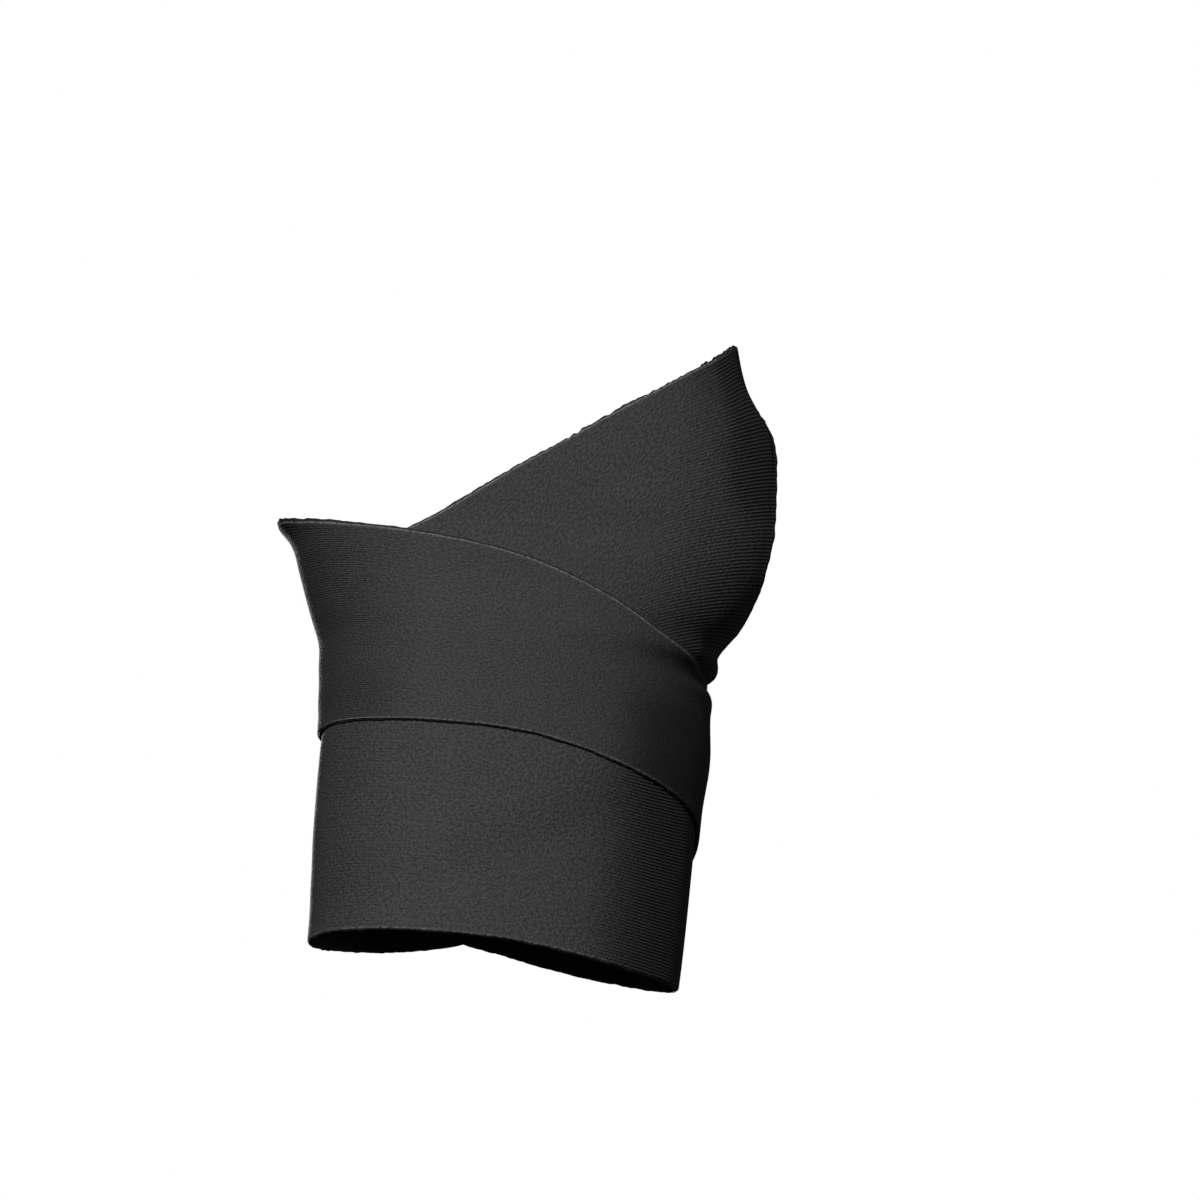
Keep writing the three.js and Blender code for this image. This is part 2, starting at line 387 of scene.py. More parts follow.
def strapColumns():
    # each column: its turn, its two bands of fabric, and the cut edge's place beside each end
    margin = strap["rimMargin"]
    startScale = float(degreeLength(startTurn))
    opening = strap["openingTurn"]
    openingMargin = strap["openingMargin"]
    columns = []

    def addColumn(turn, lowInset=None, edgeTurn=None, edgeInset=None):
        slope = 1.0 / degreeLength(turn, tailCentre(turn))
        topSlope = float((topEdge(turn + 0.5) - topEdge(turn - 0.5)) * slope)
        bottomSlope = float((bottomEdge(turn + 0.5) - bottomEdge(turn - 0.5)) * slope)
        top = float(topEdge(turn))
        bottom = float(bottomEdge(turn))
        if lowInset is None:
            low = bottom + margin * math.hypot(1, bottomSlope)
            high = top - margin * math.hypot(1, topSlope)
            lowEdge = (turn, bottom)
            highEdge = (turn, top)
        else:
            low = bottom + lowInset
            high = top - lowInset
            lowEdge = (edgeTurn, float(bottomEdge(edgeTurn)) + edgeInset)
            highEdge = (edgeTurn, float(topEdge(edgeTurn)) - edgeInset)
        middle = (top - strap["webBridge"] + bottom + strap["thumbBridge"]) / 2
        across = (turn - opening) / wideHalfTurn
        slitLow = slitHigh = middle
        slitLowEdge = slitHighEdge = (turn, middle)
        if abs(across) <= 1 + 1e-9:
            rise = math.sqrt(max(1 - across * across, 0))
            halfOpening = (top - strap["webBridge"] - bottom - strap["thumbBridge"]) / 2 + openingMargin
            slitLow = middle - halfOpening * rise
            slitHigh = middle + halfOpening * rise
            edge = opening + openingHalfTurn * across
            edgeTop = float(topEdge(edge)) - strap["webBridge"]
            edgeBottom = float(bottomEdge(edge)) + strap["thumbBridge"]
            edgeHalf = (edgeTop - edgeBottom) / 2 * rise
            slitLowEdge = (edge, (edgeTop + edgeBottom) / 2 - edgeHalf)
            slitHighEdge = (edge, (edgeTop + edgeBottom) / 2 + edgeHalf)
        columns.append({
            "turn": turn,
            "bands": ((low, slitLow), (slitHigh, high)),
            "edges": (lowEdge, slitLowEdge, slitHighEdge, highEdge),
            "open": slitHigh - slitLow > 1e-6,
        })

    def addCorner(endTurn, sign, radius, scale, order):
        for index in order:
            angle = math.pi / 2 * index / strap["cornerColumns"]
            inner = radius - margin
            turn = endTurn + sign * (radius - inner * math.cos(angle)) / scale
            edgeTurn = endTurn + sign * radius * (1 - math.cos(angle)) / scale
            addColumn(turn, radius - inner * math.sin(angle), edgeTurn, radius * (1 - math.sin(angle)))

    steps = strap["cornerColumns"]
    addCorner(startTurn, 1, strap["startCorner"], startScale, range(steps))
    firstEven = startTurn + strap["startCorner"] / startScale
    lastEven = tailTurn - strap["tailCorner"] / tailScale
    for turn in evenTurns(firstEven, opening - wideHalfTurn)[:-1]:
        addColumn(float(turn))
    count = strap["openingColumns"]
    for index in range(count + 1):
        addColumn(opening - wideHalfTurn * math.cos(math.pi * index / count))
    for turn in evenTurns(opening + wideHalfTurn, lastEven)[1:]:
        addColumn(float(turn))
    addCorner(tailTurn, -1, strap["tailCorner"], tailScale, range(steps - 1, -1, -1))
    return columns


def makeMesh(name, points, faces, smooth=True):
    mesh = bpy.data.meshes.new(name)
    mesh.from_pydata((np.asarray(points) * mm).tolist(), [], faces)
    mesh.validate()
    if smooth:
        mesh.polygons.foreach_set("use_smooth", [True] * len(mesh.polygons))
    piece = bpy.data.objects.new(name, mesh)
    bpy.context.scene.collection.objects.link(piece)
    return piece


def addPointValues(piece, name, values):
    layer = piece.data.attributes.new(name, "FLOAT", "POINT")
    layer.data.foreach_set("value", np.asarray(values, np.float32))


def addFabricMap(piece, along, across):
    # millimetres along and across the strap, so that the knit has its real size
    corners = np.zeros(len(piece.data.loops), np.int32)
    piece.data.loops.foreach_get("vertex_index", corners)
    layer = piece.data.uv_layers.new(name="fabric")
    places = np.stack([np.asarray(along)[corners], np.asarray(across)[corners]], -1)
    layer.data.foreach_set("uv", places.astype(np.float32).ravel())


cutEdge = {
    "seed": 11,
    "lumpSize": 0.06,           # how uneven the cut is
    "lumpWave": 2.2,            # counted in steps of the fine mesh, as the other waves are
    "lumpShare": 0.6,
    "fraySize": 0.1,
    "openingFray": 0.15,        # round the thumb opening
    "toothWave": 0.9,
    "toothShare": 0.8,
    "threadWave": 0.8,
    "threadShare": 0.4,
    "threadLift": 0.5,
    "pullFrom": 20.0,           # it frays most where it is pulled, above this height
    "pullRise": 20.0,
    "leastPull": 0.3,
    "lipHighlightFade": (0.975, 0.1, 0.15),      # how the pale lip's painted highlight fades out round the thumb side, away from the key lamp
}


def loopNoise(count, wave, draws):
    values = draws.normal(size=count)
    reach = int(wave * 3)
    offsets = np.arange(-reach, reach + 1)
    weights = np.exp(-0.5 * (offsets / wave) ** 2)
    total = sum(w * np.roll(values, o) for w, o in zip(weights, offsets))
    return total / math.sqrt(float((weights ** 2).sum()))


def restDepth(turn, height):
    return layersBeneath(turn, height) + patchBeneath(turn, height) + openingCurl(turn, height)


# how far the ribs are stretched open, from 0 to about 1; a bend is 0 in front and 1 at the sides
ribs = {
    "everywhere": 0.04,
    "wideBend": (0.6, 0.95),
    "wideShare": 0.55,
    "wristBend": (0.55, 0.85),
    "wristTop": (-4.0, 8.0),    # a height, and how far above it the ribs are closed again
    "openingBend": (0.76, 0.9),
    "openingBottom": (26.0, 10.0),      # a height, and how far above it they are fully open
    "openingShare": 1.6,
    "tailTurns": (600.0, 655.0),
    "narrowFrom": 540.0,        # the turn where the strap gets narrow and is stretched less
    "leastShare": 0.08,
    "tailThumbShare": 0.72,
    "tailLittleShare": 0.32,
    "outerDepth": 0.6,          # share of the thickness; the inner face shows none
}


def ribOpening(turn, height):
    # the ribs open where the fabric bends round the thumb side: wide in the lower half, and hard
    # beside the opening
    toThumb = -np.sin(np.radians(turn))
    bend = np.abs(toThumb)
    wide = smoothRise(bend, *ribs["wideBend"]) * ribs["wideShare"]
    wristTop, wristFade = ribs["wristTop"]
    atWrist = smoothRise(bend, *ribs["wristBend"])
    atWrist = atWrist * np.clip(1 - (height - wristTop) / wristFade, 0, 1)
    openingBottom, openingFade = ribs["openingBottom"]
    atOpening = smoothRise(bend, *ribs["openingBend"])
    atOpening = atOpening * np.clip((height - openingBottom) / openingFade, 0, 1)
    atOpening = atOpening * ribs["openingShare"]
    onTail = smoothRise(turn, *ribs["tailTurns"])
    narrowShare = ribs["leastShare"] + ribs["tailThumbShare"] * onTail
    thumbShare = np.where(turn < ribs["narrowFrom"], 1.0, narrowShare)
    littleShare = ribs["leastShare"] + ribs["tailLittleShare"] * onTail
    opened = np.maximum(wide, atWrist + atOpening) * np.where(toThumb > 0, thumbShare, littleShare)
    return ribs["everywhere"] + opened


def strapGrid(columns):
    # the points of both bands, numbered by column, band and row, and the faces between them; the
    # inner face has the same points once more, after all the outer ones
    rows = strap["bandRows"]
    turns, heights, faces = [], [], []
    numbers = np.zeros((len(columns), 2, rows + 1), int)
    for c, column in enumerate(columns):
        for band, (low, high) in enumerate(column["bands"]):
            for row in range(rows + 1):
                if band == 1 and row == 0 and not column["open"]:
                    numbers[c, 1, 0] = numbers[c, 0, rows]
                    continue
                numbers[c, band, row] = len(turns)
                turns.append(column["turn"])
                heights.append(low + (high - low) * row / rows)
    coarse = len(turns)
    for here, there in zip(numbers[:-1], numbers[1:]):
        for band in range(2):
            for row in range(rows):
                a, b = int(here[band, row]), int(here[band, row + 1])
                d, e = int(there[band, row]), int(there[band, row + 1])
                faces.append((a, b, e, d))
                faces.append((a + coarse, d + coarse, e + coarse, b + coarse))
    return np.array(turns), np.array(heights), numbers, faces


def cutLoops(columns, numbers, heights):
    # the lines of cut edge, round the strap and round the thumb opening: the number of each grid
    # point beside the edge, and the edge's own place there
    rows = strap["bandRows"]
    count = len(columns)
    startIds = list(dict.fromkeys(numbers[0].ravel().tolist()))
    tailIds = list(dict.fromkeys(numbers[-1].ravel().tolist()))
    outline = [(int(numbers[c, 0, 0]), columns[c]["edges"][0]) for c in range(count)]
    outline += [(number, (tailTurn, heights[number])) for number in tailIds[1:-1]]
    outline += [(int(numbers[c, 1, rows]), columns[c]["edges"][3]) for c in reversed(range(count))]
    outline += [(number, (startTurn, heights[number])) for number in reversed(startIds[1:-1])]

    reach = [c for c in range(count)
             if abs(columns[c]["turn"] - strap["openingTurn"]) <= wideHalfTurn + 1e-6]
    opening = [(int(numbers[c, 0, rows]), columns[c]["edges"][1]) for c in reversed(reach)]
    opening += [(int(numbers[c, 1, 0]), columns[c]["edges"][2]) for c in reach[1:-1]]
    return outline, opening


def finer(values):
    # fine steps from each value to the next one round the loop
    shares = np.arange(strap["rimSteps"]) / strap["rimSteps"]
    following = np.roll(values, -1)
    return (values[:, None] * (1 - shares) + following[:, None] * shares).ravel()


def rimPoints(loop, turns, heights, profile, margin, fray, draws):
    # turn, height, depth, cut lip and foam core of each point in the profile's rows
    ids = [number for number, edge in loop]
    insideTurn = finer(turns[ids])
    insideHeight = finer(heights[ids])
    edgeTurn = finer(np.array([edge[0] for number, edge in loop]))
    edgeHeight = finer(np.array([edge[1] for number, edge in loop]))
    size = len(insideTurn)
    lump = loopNoise(size, cutEdge["lumpWave"], draws) * cutEdge["lumpSize"] / margin
    pull = np.clip((edgeHeight - cutEdge["pullFrom"]) / cutEdge["pullRise"], cutEdge["leastPull"], 1)
    teeth = loopNoise(size, cutEdge["toothWave"], draws) * pull * fray / margin
    rimRows = []
    for share, depth, lip, core in profile:
        threads = loopNoise(size, cutEdge["threadWave"], draws)
        threads = threads * pull * fray * cutEdge["threadShare"] / margin
        tooth = teeth * cutEdge["toothShare"] + threads
        # only the outer half of the profile is uneven
        out = share + (lump * cutEdge["lumpShare"] + tooth) * max(share - 0.5, 0) * 2
        rimRows.append(np.stack([
            insideTurn + (edgeTurn - insideTurn) * out,
            insideHeight + (edgeHeight - insideHeight) * out,
            depth + tooth * cutEdge["threadLift"] * lip,
            np.full(size, lip),
            np.full(size, core),
        ]))
    return np.concatenate(rimRows, axis=1)


def rimFaces(loop, first, rowCount, coarse):
    # from the outer grid over the profile's rows to the inner grid
    ids = [number for number, edge in loop]
    steps = strap["rimSteps"]
    size = len(ids) * steps
    last = first + (rowCount - 1) * size
    faces = []
    for index, near in enumerate(ids):
        far = ids[(index + 1) % len(ids)]
        fine = [(index * steps + k) % size for k in range(steps + 1)]
        faces.append((first + fine[0], near, far, *[first + k for k in reversed(fine[1:])]))
        faces.append((*[last + k for k in fine], far + coarse, near + coarse))
    for upper in range(first, last, size):
        lower = upper + size
        for k in range(size):
            following = (k + 1) % size
            faces.append((upper + k, upper + following, lower + following, lower + k))
    return faces


def makeStrap():
    columns = strapColumns()
    turns, heights, numbers, faces = strapGrid(columns)
    outline, opening = cutLoops(columns, numbers, heights)
    coarse = len(turns)
    draws = np.random.default_rng(cutEdge["seed"])
    fine = np.zeros((5, 0))         # one row for each value that rimPoints gives
    for loop, profile, margin, fray in (
            (outline, rimProfile, strap["rimMargin"], cutEdge["fraySize"]),
            (opening, openingProfile, strap["openingMargin"], cutEdge["openingFray"])):
        faces += rimFaces(loop, coarse * 2 + fine.shape[1], len(profile), coarse)
        rim = rimPoints(loop, turns, heights, profile, margin, fray, draws)
        fine = np.concatenate([fine, rim], axis=1)
    fineTurns, fineHeights, fineDepths, fineLip, fineCore = fine

    inner = restDepth(turns, heights)
    fineInner = restDepth(fineTurns, fineHeights)
    fineThickness = fabricThickness(fineTurns, fineHeights)
    points = np.concatenate([
        pointAt(turns, heights, inner + fabricThickness(turns, heights)),
        pointAt(turns, heights, inner),
        pointAt(fineTurns, fineHeights, fineInner + fineThickness * fineDepths),
    ])
    piece = makeMesh("fabric_strap", points, faces)

    allTurns = np.concatenate([turns, turns, fineTurns])
    allHeights = np.concatenate([heights, heights, fineHeights])
    widening = 1 + strap["startStretch"] * np.clip(1 - allTurns / strap["stretchEnd"], 0, 1)
    across = (allHeights - bottomEdge(allTurns)) / (topEdge(allTurns) - bottomEdge(allTurns))
    addFabricMap(piece, lengthAt(allTurns), across * strap["width"] * widening)

    outside = np.concatenate([np.ones(coarse), np.zeros(coarse), fineDepths > ribs["outerDepth"]])
    addPointValues(piece, "ribOpening", ribOpening(allTurns, allHeights) * outside)
    lipEnd, lipHighlightFade, leastLip = cutEdge["lipHighlightFade"]
    lipHighlightShare = np.clip((lipEnd + np.sin(np.radians(allTurns))) / lipHighlightFade, leastLip, 1)
    addPointValues(piece, "cutLipHighlight", np.concatenate([np.zeros(coarse * 2), fineLip]) * lipHighlightShare)
    core = np.concatenate([np.zeros(coarse * 2), fineCore])
    # the foam core's own black at the cuts and the painted shade beside the opening share this
    # attribute
    addPointValues(piece, "foamCoreAndShade", np.maximum(core, paintedFoldShade(allTurns, allHeights) * outside))
    return piece


def patchPlace(along, across):
    turn = patchStart + np.asarray(along, float) / tailScale
    return turn, tailCentre(turn) + across


def cornerInset(distance, radius):
    rest = np.clip(radius - distance, 0, radius)
    return radius - np.sqrt(radius * radius - rest * rest)


# a hook's line: how far along the strap, and how deep below the tape
hookLine = [(0.0, -0.05), (0.0, 0.35), (0.07, 0.55), (0.2, 0.66), (0.34, 0.6), (0.4, 0.45)]


def makeHookTape():
    # the woven tape lies against the tail, and its hooks point down into the layer beneath
    length, width, corner = hookPad["length"], hookPad["width"], hookPad["corner"]
    high = hookPad["thickness"] + strap["layerGap"] / 2
    low = high - hookPad["tape"]
    ends = corner * (1 - np.cos(np.linspace(0, math.pi / 2, hookPad["cornerSteps"])))
    middle = np.linspace(corner, length - corner, hookPad["columns"])[1:-1]
    alongs = np.concatenate([ends, middle, length - ends[::-1]])
    rows = hookPad["rows"]
    places, depths, faces = [], [], []
    for depth in (high, low):
        for along in alongs:
            inset = cornerInset(along, corner) + cornerInset(length - along, corner)
            for across in np.linspace(-width / 2 + inset, width / 2 - inset, rows + 1):
                places.append((along, across))
                depths.append(depth)
    step = rows + 1
    under = len(alongs) * step
    for c in range(len(alongs) - 1):
        for r in range(rows):
            a, b = c * step + r, c * step + r + 1
            faces.append((a, b, b + step, a + step))
            faces.append((a + under, a + step + under, b + step + under, b + under))
        faces.append((c * step, (c + 1) * step, (c + 1) * step + under, c * step + under))
        a = c * step + rows
        faces.append((a + step, a, a + under, a + step + under))
    for r in range(rows):
        faces.append((r + 1, r, r + under, r + 1 + under))
        a = (len(alongs) - 1) * step + r
        faces.append((a, a + 1, a + 1 + under, a + under))

    pitchAlong, pitchAcross = hookPad["hookPitch"]
    half = hookPad["hookWidth"] / 2
    section = ((-half, -half), (half, -half), (half, half), (-half, half))
    margin = hookPad["endMargin"]
    for i, along in enumerate(np.arange(margin, length - margin, pitchAlong)):
        lead = 1 if i % 2 else -1
        lowest = -width / 2 + hookPad["lowMargin"] + (i % 2) * pitchAcross / 2
        for across in np.arange(lowest, width / 2 - hookPad["highMargin"], pitchAcross):
            first = len(places)
            for ahead, down in hookLine:
                for a, b in section:
                    places.append((along + lead * ahead + a * hookPad["hookFlatness"], across + b))
                    depths.append(low - down)
            for k in range(len(hookLine) - 1):
                for side in range(4):
                    a, b = first + k * 4 + side, first + k * 4 + (side + 1) % 4
                    faces.append((a, b, b + 4, a + 4))
            last = first + (len(hookLine) - 1) * 4
            faces.append((first + 3, first + 2, first + 1, first))
            faces.append((last, last + 1, last + 2, last + 3))
    alongs, acrosses = np.array(places).T
    turns, heights = patchPlace(alongs, acrosses)
    depths = layersBeneath(turns, heights) + depths
    piece = makeMesh("hook_tape", pointAt(turns, heights, depths), faces)
    addFabricMap(piece, alongs, acrosses)
    return piece


stitching = {
    "inset": 1.6,               # mm inside the patch's edge
    "stitch": 2.3,
    "space": 0.55,
    "thread": 0.24,             # thickness
    "sink": 0.12,               # how far its ends go into the fabric
    "rise": 0.22,               # how far its middle stands out, as a share of the thickness
    "roundness": 0.6,           # how soon it has come up
    "endShare": 0.55,           # thickness of its ends as a share
    "swell": 0.45,              # and what the middle has more
    "sides": 8,
    "segments": 10,
}


def makeStitching():
    # one closed line of straight stitches through the tail, round the patch
    halfLength = hookPad["length"] / 2 - stitching["inset"]
    halfWidth = hookPad["width"] / 2 - stitching["inset"]
    centre = hookPad["length"] / 2
    corners = [(-halfLength, -halfWidth), (halfLength, -halfWidth),
               (halfLength, halfWidth), (-halfLength, halfWidth)]
    spots, offsets, lifts, places, faces = [], [], [], [], []
    sides, segments = stitching["sides"], stitching["segments"]
    for (fromAlong, fromAcross), (toAlong, toAcross) in zip(corners, corners[1:] + corners[:1]):
        begin = np.array([fromAlong, fromAcross])
        run = math.hypot(toAlong - fromAlong, toAcross - fromAcross)
        count = round(run / (stitching["stitch"] + stitching["space"]))
        pitch = run / count
        forward = np.array([toAlong - fromAlong, toAcross - fromAcross]) / run
        aside = np.array([-forward[1], forward[0]])
        for index in range(count):
            first = len(spots)
            for k in range(segments + 1):
                share = k / segments
                reach = stitching["space"] / 2 + (pitch - stitching["space"]) * share
                bow = math.sin(math.pi * share) ** stitching["roundness"]
                radius = stitching["thread"] / 2 * (stitching["endShare"] + stitching["swell"] * bow)
                height = stitching["sink"] + stitching["thread"] * stitching["rise"]
                lift = height * bow - stitching["sink"]
                for side in range(sides):
                    angle = 2 * math.pi * side / sides
                    spots.append(begin + forward * (index * pitch + reach))
                    offsets.append(aside * radius * math.cos(angle))
                    lifts.append(lift + radius * math.sin(angle))
                    places.append((reach + index * pitch, side / sides))
            for k in range(segments):
                for side in range(sides):
                    a, b = first + k * sides + side, first + k * sides + (side + 1) % sides
                    faces.append((a, a + sides, b + sides, b))
            faces.append(tuple(first + side for side in range(sides)))
            last = first + segments * sides
            faces.append(tuple(last + side for side in reversed(range(sides))))
    spotAlong, spotUp = np.array(spots).T
    offsetAlong, offsetUp = np.array(offsets).T
    turns, heights = patchPlace(centre + spotAlong, spotUp)
    turns = turns + offsetAlong / degreeLength(turns, heights)
    heights = heights + offsetUp
    depths = restDepth(turns, heights) + strap["thickness"] + np.array(lifts)
    piece = makeMesh("patch_stitching", pointAt(turns, heights, depths), faces)
    addFabricMap(piece, *np.array(places).T)
    return piece


def linear(code):
    # sRGB hex to linear colour
    values = [int(code[i:i + 2], 16) / 255 for i in (1, 3, 5)]
    turned = [v / 12.92 if v <= 0.04045 else ((v + 0.055) / 1.055) ** 2.4 for v in values]
    return (*turned, 1.0)


def addNode(tree, kind, settings=None, links=None):
    node = tree.nodes.new(kind)
    for name, value in (settings or {}).items():
        if isinstance(name, int) or name in node.inputs:
            node.inputs[name].default_value = value
        else:
            setattr(node, name, value)
    for name, source in (links or {}).items():
        tree.links.new(source, node.inputs[name])
    return node


def newMaterial(name):
    material = bpy.data.materials.new(name)
    material.use_nodes = True
    material.node_tree.nodes.clear()
    return material


def setStops(node, places, codes):
    for element, place, code in zip(node.color_ramp.elements, places, codes):
        element.position = place
        element.color = linear(code)


jersey = {
    "ribSpacing": 0.53,         # mm, as counted on the photograph's ribs
    "ribRelief": 0.1,           # mm either side of the middle where the fabric is stretched open
    "grooveRange": (0.6, -0.5),     # of the rib's wave, from its side to its bottom, where the painted shade in the groove comes in
    "courseSpacing": 0.55,      # mm between the loops along a rib; real ones are finer
    "courseShare": 0.035,       # of the relief
    "wanderScale": 0.12,        # the ribs wander in waves of about 8 mm
    "wander": 2.0,              # radians
    "grainSize": (0.5, 0.5),    # mm along and across
    "grainTurn": 0.6,           # radians, so that it doesn't line up with the ribs
    "grainShare": 1.3,
    "blotchSize": 5.0,          # mm
    "blotchShare": 0.12,
    "endScale": 1.7,            # the thread ends of a cut, about 0.6 mm apart
    "endRange": (0.25, 0.65),
    "toneRange": (0.38, 0.74),
    "dark": "#1f1f1f",
    "light": "#343434",
    # pale grey of the cut thread ends, partly a painted highlight
    "lip": "#6e6e6e",
    "core": "#0a0a0a",
    "roughness": 0.8,
    "gloss": 0.35,              # a knit's rough face gives back less than plain nylon
}


def nylonJersey():
    # nylon and elastane jersey on thin black foam, warp knitted and matt: fine ribs along the
    # strap that show where the light grazes it, a mottled black, and where it is cut a thin
    # broken line of grey thread ends beside the foam, their grey partly a painted highlight;
    # painted shade lies in the opened ribs' grooves and in a patch beside the thumb opening
    material = newMaterial("nylonJersey")
    tree = material.node_tree
    place = addNode(tree, "ShaderNodeUVMap", {"uv_map": "fabric"}).outputs["UV"]
    apart = addNode(tree, "ShaderNodeSeparateXYZ", None, {"Vector": place})
    wander = addNode(tree, "ShaderNodeTexNoise",
                     {"noise_dimensions": "2D", "Scale": jersey["wanderScale"], "Detail": 2.0},
                     {"Vector": place})
    phase = addNode(tree, "ShaderNodeMath", {"operation": "MULTIPLY", 1: jersey["wander"]},
                    {0: wander.outputs["Fac"]})
    waves = []
    for axis, spacing in (("Y", jersey["ribSpacing"]), ("X", jersey["courseSpacing"])):
        turned = addNode(tree, "ShaderNodeMath",
                         {"operation": "MULTIPLY_ADD", 1: 2 * math.pi / spacing},
                         {0: apart.outputs[axis], 2: phase.outputs["Value"]})
        waves.append(addNode(tree, "ShaderNodeMath", {"operation": "SINE"},
                             {0: turned.outputs["Value"]}))
    rib, course = waves

    along, across = jersey["grainSize"]
    stretched = addNode(tree, "ShaderNodeMapping", {
        "Scale": (1 / along, 1 / across, 1.0),
        "Rotation": (0, 0, jersey["grainTurn"]),
    }, {"Vector": place})
    grain = addNode(tree, "ShaderNodeTexNoise",
                    {"noise_dimensions": "2D", "Scale": 1.0, "Detail": 1.0},
                    {"Vector": stretched.outputs["Vector"]})
    blotches = addNode(tree, "ShaderNodeTexNoise",
                       {"noise_dimensions": "2D", "Scale": 1 / jersey["blotchSize"], "Detail": 4.0},
                       {"Vector": place})
    mottle = addNode(tree, "ShaderNodeMath",
                     {"operation": "MULTIPLY_ADD", 1: jersey["blotchShare"]},
                     {0: blotches.outputs["Fac"], 2: grain.outputs["Fac"]})
    tone = addNode(tree, "ShaderNodeValToRGB", None, {"Fac": mottle.outputs["Value"]})
    setStops(tone, jersey["toneRange"], (jersey["dark"], jersey["light"]))

    # the bottoms of the opened ribs' grooves are painted the foam's black: painted shade in the grooves
    opened = addNode(tree, "ShaderNodeAttribute", {"attribute_name": "ribOpening"})
    side, bottom = jersey["grooveRange"]
    groove = addNode(tree, "ShaderNodeMapRange", {"From Min": side, "From Max": bottom},
                     {"Value": rib.outputs["Value"]})
    grooveShade = addNode(tree, "ShaderNodeMath", {"operation": "MULTIPLY"},
                  {0: groove.outputs["Result"], 1: opened.outputs["Fac"]})
    ribbed = addNode(tree, "ShaderNodeMix", {"data_type": "RGBA", 7: linear(jersey["core"])},
                     {0: grooveShade.outputs["Value"], 6: tone.outputs["Color"]})
    # the foam core's black, which beside the thumb opening is painted shade
    core = addNode(tree, "ShaderNodeAttribute", {"attribute_name": "foamCoreAndShade"})
    coredAndShaded = addNode(tree, "ShaderNodeMix", {"data_type": "RGBA", 7: linear(jersey["core"])},
                    {0: core.outputs["Fac"], 6: ribbed.outputs[2]})

    # the pale cut lip, its grey partly a painted highlight that fades round the thumb side
    lip = addNode(tree, "ShaderNodeAttribute", {"attribute_name": "cutLipHighlight"})
    specks = addNode(tree, "ShaderNodeTexNoise",
                     {"noise_dimensions": "2D", "Scale": jersey["endScale"], "Detail": 2.0},
                     {"Vector": place})
    fewest, most = jersey["endRange"]
    ends = addNode(tree, "ShaderNodeMapRange", {"From Min": fewest, "From Max": most},
                   {"Value": specks.outputs["Fac"]})
    threads = addNode(tree, "ShaderNodeMath", {"operation": "MULTIPLY"},
                      {0: lip.outputs["Fac"], 1: ends.outputs["Result"]})
    edged = addNode(tree, "ShaderNodeMix", {"data_type": "RGBA", 7: linear(jersey["lip"])},
                    {0: threads.outputs["Value"], 6: coredAndShaded.outputs[2]})

    loops = addNode(tree, "ShaderNodeMath", {"operation": "ADD"},
                    {0: rib.outputs["Value"], 1: course.outputs["Value"]})
    ribHeight = addNode(tree, "ShaderNodeMath", {"operation": "MULTIPLY"},
                        {0: rib.outputs["Value"], 1: opened.outputs["Fac"]})
    knit = addNode(tree, "ShaderNodeMath",
                   {"operation": "MULTIPLY_ADD", 1: jersey["courseShare"]},
                   {0: loops.outputs["Value"], 2: ribHeight.outputs["Value"]})
    height = addNode(tree, "ShaderNodeMath",
                     {"operation": "MULTIPLY_ADD", 1: jersey["grainShare"]},
                     {0: grain.outputs["Fac"], 2: knit.outputs["Value"]})
    relief = addNode(tree, "ShaderNodeBump",
                     {"Strength": 1.0, "Distance": jersey["ribRelief"] * mm},
                     {"Height": height.outputs["Value"]})
    shader = addNode(tree, "ShaderNodeBsdfPrincipled", {
        "Roughness": jersey["roughness"],
        "Specular IOR Level": jersey["gloss"],
    }, {"Base Color": edged.outputs[2], "Normal": relief.outputs["Normal"]})
    addNode(tree, "ShaderNodeOutputMaterial", None, {"Surface": shader.outputs["BSDF"]})
    return material


hookNylon = {
    "weaveSize": 0.5,           # mm between the tape's yarns
    "weaveGap": 0.08,           # mm of shadow between them
    "weaveRelief": 0.05,
    "dark": "#0e0e0f",
    "light": "#1c1c1d",
    "shadow": "#08090a",
    "roughness": 0.65,
    "ior": 1.53,
}


def wovenHookTape():
    # woven nylon tape with moulded nylon hooks: near black, with the low gloss of bare nylon
    material = newMaterial("wovenHookTape")
    tree = material.node_tree
    place = addNode(tree, "ShaderNodeUVMap", {"uv_map": "fabric"})
    weave = addNode(tree, "ShaderNodeTexBrick", {
        "offset": 0.5,
        "Scale": 1.0,
        "Brick Width": 2 * hookNylon["weaveSize"],
        "Row Height": hookNylon["weaveSize"],
        "Mortar Size": hookNylon["weaveGap"],
        "Mortar Smooth": 1.0,
        "Color1": linear(hookNylon["dark"]),
        "Color2": linear(hookNylon["light"]),
        "Mortar": linear(hookNylon["shadow"]),
    }, {"Vector": place.outputs["UV"]})
    height = addNode(tree, "ShaderNodeMath", {"operation": "SUBTRACT", 0: 1.0},
                     {1: weave.outputs["Fac"]})
    relief = addNode(tree, "ShaderNodeBump", {"Distance": hookNylon["weaveRelief"] * mm},
                     {"Height": height.outputs["Value"]})
    shader = addNode(tree, "ShaderNodeBsdfPrincipled",
                     {"Roughness": hookNylon["roughness"], "IOR": hookNylon["ior"]},
                     {"Base Color": weave.outputs["Color"], "Normal": relief.outputs["Normal"]})
    addNode(tree, "ShaderNodeOutputMaterial", None, {"Surface": shader.outputs["BSDF"]})
    return material


polyesterThread = {
    "twist": 0.45,              # mm for one turn of the ply
    "relief": 0.03,
    "dark": "#202121",
    "light": "#3c3d3e",
    "roughness": 0.6,
    "ior": 1.57,
}


